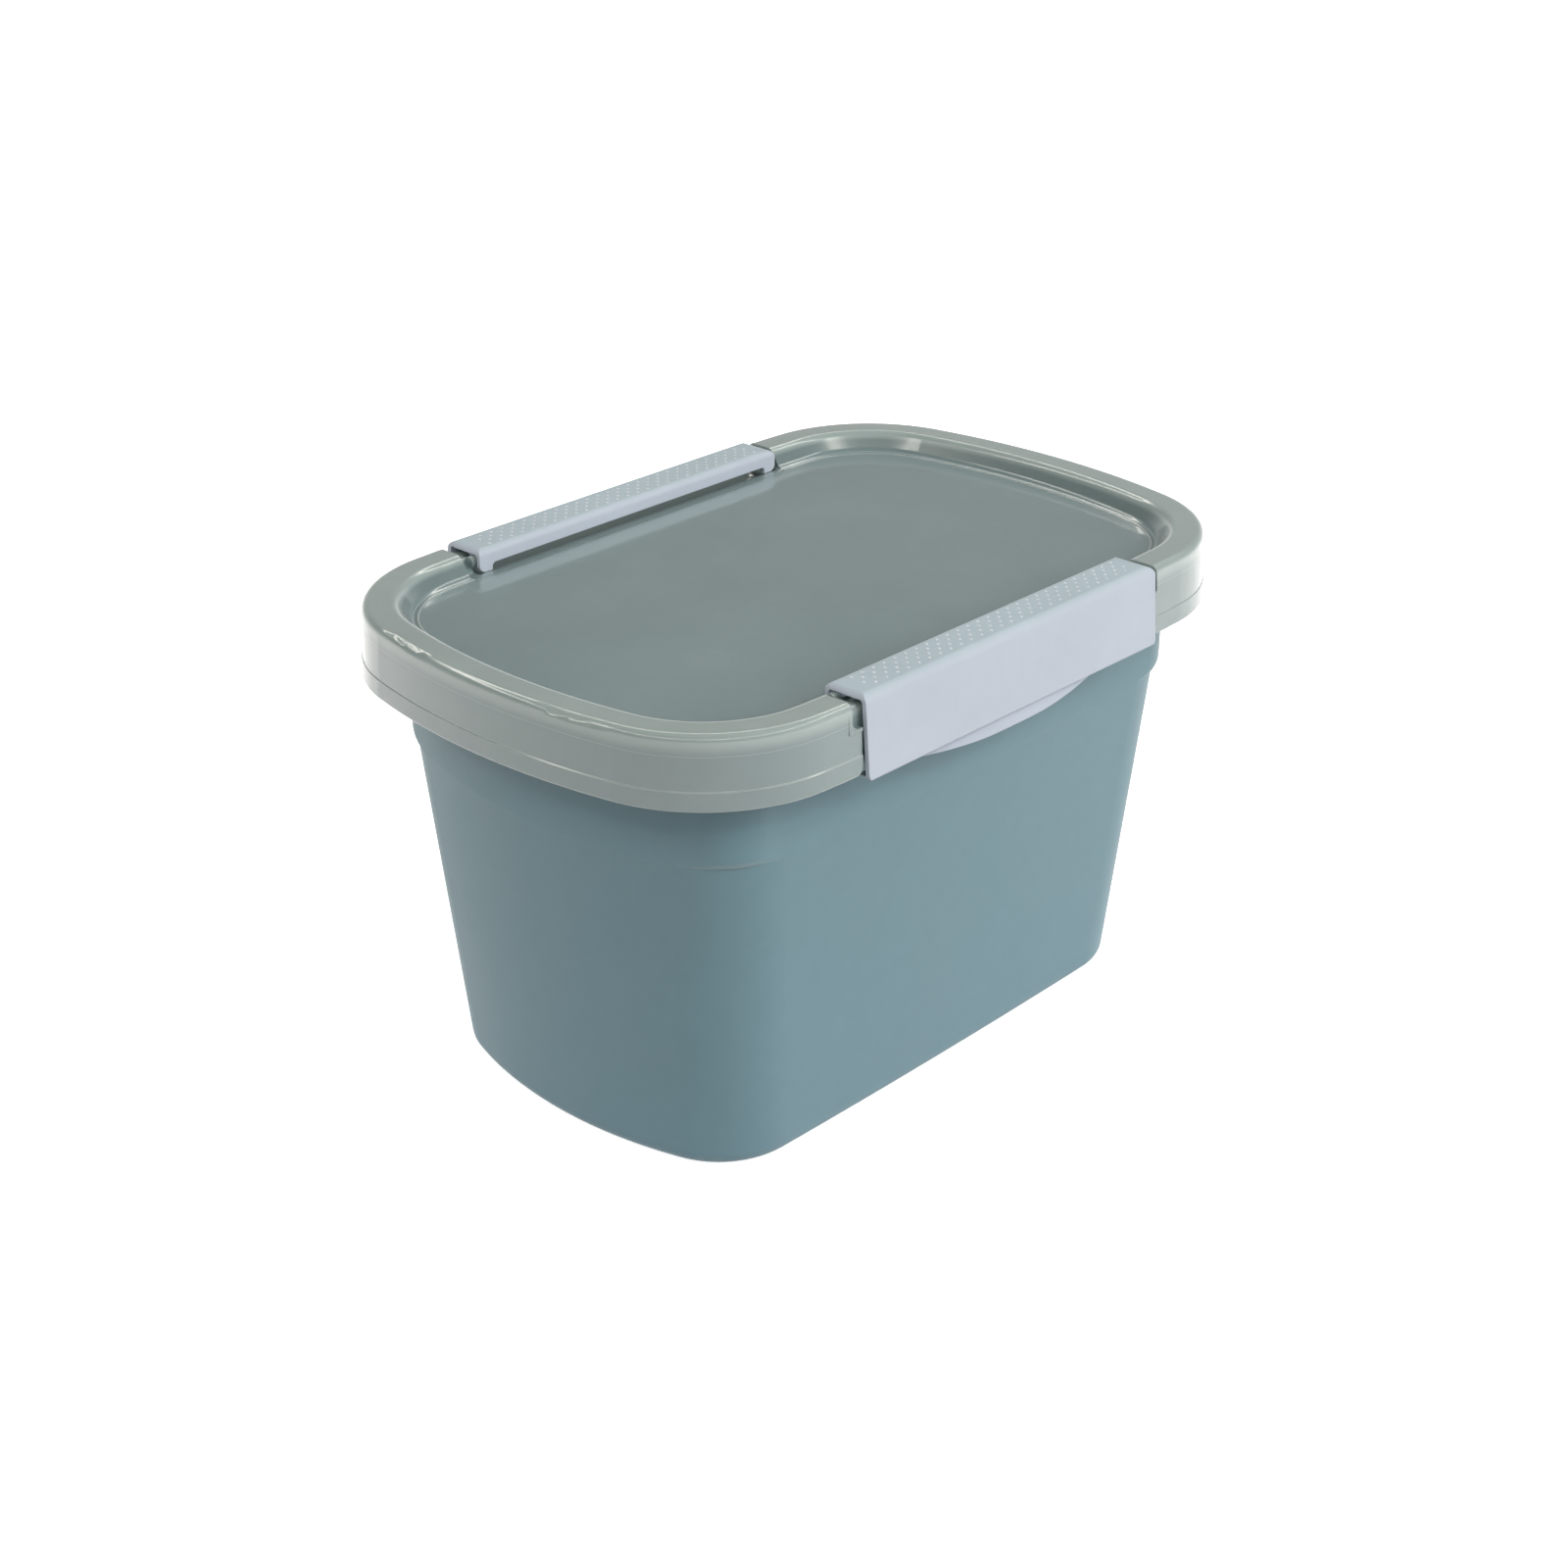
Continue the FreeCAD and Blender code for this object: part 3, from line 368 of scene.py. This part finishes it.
def studio_floor():
    """A wide sheet of matt white paper, lit from below so that it stays evenly white.

    It throws no bounce light on the tote, whose sides would otherwise be lit from underneath.
    """
    made, tree = blank("backdrop_paper")
    place = node(tree, "ShaderNodeTexCoord").outputs["Object"]
    fibre = node(tree, "ShaderNodeTexNoise", {
        "Vector": place, "Scale": per_metre(PAPER_FIBRE_MM), "Detail": 2.0})
    grey, white = PAPER_COLOURS
    shade = node(tree, "ShaderNodeMix", {
        "Factor": fibre.outputs["Fac"], 6: hex_colour(grey), 7: hex_colour(white)}, data_type="RGBA")
    reach = node(tree, "ShaderNodeVectorMath", {0: place}, operation="LENGTH")
    glow = node(tree, "ShaderNodeMapRange", {
        "Value": reach.outputs["Value"], "From Min": GLOW_REACH[0], "From Max": GLOW_REACH[1],
        "To Min": GLOW_NEAR, "To Max": GLOW_FAR})
    paper = node(tree, "ShaderNodeBsdfPrincipled", {
        "Base Color": shade.outputs[2], "Roughness": 0.95, "Specular IOR Level": 0.1,
        "Emission Color": (1.0, 1.0, 1.0, 1.0), "Emission Strength": glow.outputs[0]})
    node(tree, "ShaderNodeOutputMaterial", {"Surface": paper.outputs[0]})
    bpy.ops.mesh.primitive_plane_add(size=FLOOR_SIZE, location=(0, 0, cad_box[0].z))
    floor = bpy.context.object
    floor.name = "floor"
    floor.data.materials.append(made)
    floor.visible_diffuse = False


def studio_sky():
    """A tent of white cloth, bright near the horizon and dim overhead, with a ring of warm tubes half way up.

    The ring of tubes draws one thin, unbroken highlight along every glossy rounding.
    """
    world = bpy.data.worlds.new("studio")
    bpy.context.scene.world = world
    world.use_nodes = True
    tree = world.node_tree
    tree.nodes.clear()
    ray = node(tree, "ShaderNodeTexCoord").outputs["Generated"]
    height = node(tree, "ShaderNodeSeparateXYZ", {"Vector": ray}).outputs["Z"]
    tent = node(tree, "ShaderNodeMapRange", {
        "Value": height, "From Min": SKY_FADE[0], "From Max": SKY_FADE[1],
        "To Min": SKY_LOW, "To Max": SKY_HIGH}, interpolation_type="SMOOTHSTEP")
    above = node(tree, "ShaderNodeMapRange", {
        "Value": height, "From Min": -HORIZON_BLUR, "From Max": 0.0, "To Min": 0.0, "To Max": 1.0})
    level = node(tree, "ShaderNodeMix", {"Factor": above.outputs[0], "A": SKY_BELOW, "B": tent.outputs[0]})
    cloth = node(tree, "ShaderNodeBackground", {
        "Color": (1.0, 1.0, 1.0, 1.0), "Strength": level.outputs[0]})
    off = node(tree, "ShaderNodeMath", {0: height, 1: TUBE_HEIGHT}, operation="SUBTRACT")
    apart = node(tree, "ShaderNodeMath", {0: off.outputs[0]}, operation="ABSOLUTE")
    tube = node(tree, "ShaderNodeMapRange", {
        "Value": apart.outputs[0], "From Min": 0.0, "From Max": TUBE_SPREAD,
        "To Min": TUBE_GLOW, "To Max": 0.0}, interpolation_type="SMOOTHSTEP")
    ring = node(tree, "ShaderNodeBackground", {
        "Color": hex_colour(TUBE_COLOUR), "Strength": tube.outputs[0]})
    both = node(tree, "ShaderNodeAddShader", {0: cloth.outputs[0], 1: ring.outputs[0]})
    node(tree, "ShaderNodeOutputWorld", {"Surface": both.outputs[0]})


def away_from_tote(azimuth, elevation):
    """The direction out from the tote. Azimuth 0 is in front of it, at -Y, and grows towards +X."""
    a, e = math.radians(azimuth), math.radians(elevation)
    return Vector((math.sin(a) * math.cos(e), -math.cos(a) * math.cos(e), math.sin(e)))


def softbox(name, azimuth, elevation, width, height, power):
    """An area light that faces the middle of the tote. It isn't mirrored in the gloss."""
    lamp = bpy.data.lights.new(name, "AREA")
    lamp.shape = "RECTANGLE"
    lamp.size = width
    lamp.size_y = height
    lamp.energy = power
    stand = bpy.data.objects.new(name, lamp)
    bpy.context.scene.collection.objects.link(stand)
    away = away_from_tote(azimuth, elevation)
    stand.location = MIDDLE + away * LAMP_DISTANCE
    stand.rotation_mode = "QUATERNION"
    stand.rotation_quaternion = away.to_track_quat("Z", "Y")
    stand.visible_camera = False
    stand.visible_glossy = False


studio_floor()
studio_sky()
softbox("key", azimuth=26, elevation=26, width=1.6, height=1.2, power=29)
softbox("fill", azimuth=-62, elevation=22, width=0.9, height=1.2, power=4.5)
softbox("back", azimuth=165, elevation=10, width=1.6, height=0.8, power=9)


# ---------------------------------------------------------------- camera

def camera_stand(azimuth, elevation, distance, lens, aim):
    """A camera that looks at the aim from this far away."""
    optics = bpy.data.cameras.new("camera")
    optics.lens = lens
    optics.sensor_width = 36
    camera = bpy.data.objects.new("camera", optics)
    bpy.context.scene.collection.objects.link(camera)
    away = away_from_tote(azimuth, elevation)
    camera.location = aim + away * distance
    camera.rotation_mode = "QUATERNION"
    camera.rotation_quaternion = (-away).to_track_quat("-Z", "Y")
    bpy.context.scene.camera = camera


AIM_OFFSET = Vector((-5.0, 3.3, -2.35)) * MM

camera_stand(azimuth=-46.824, elevation=26.125, distance=1.2131, lens=60.05, aim=MIDDLE + AIM_OFFSET)
bpy.context.scene.view_settings.view_transform = "Standard"
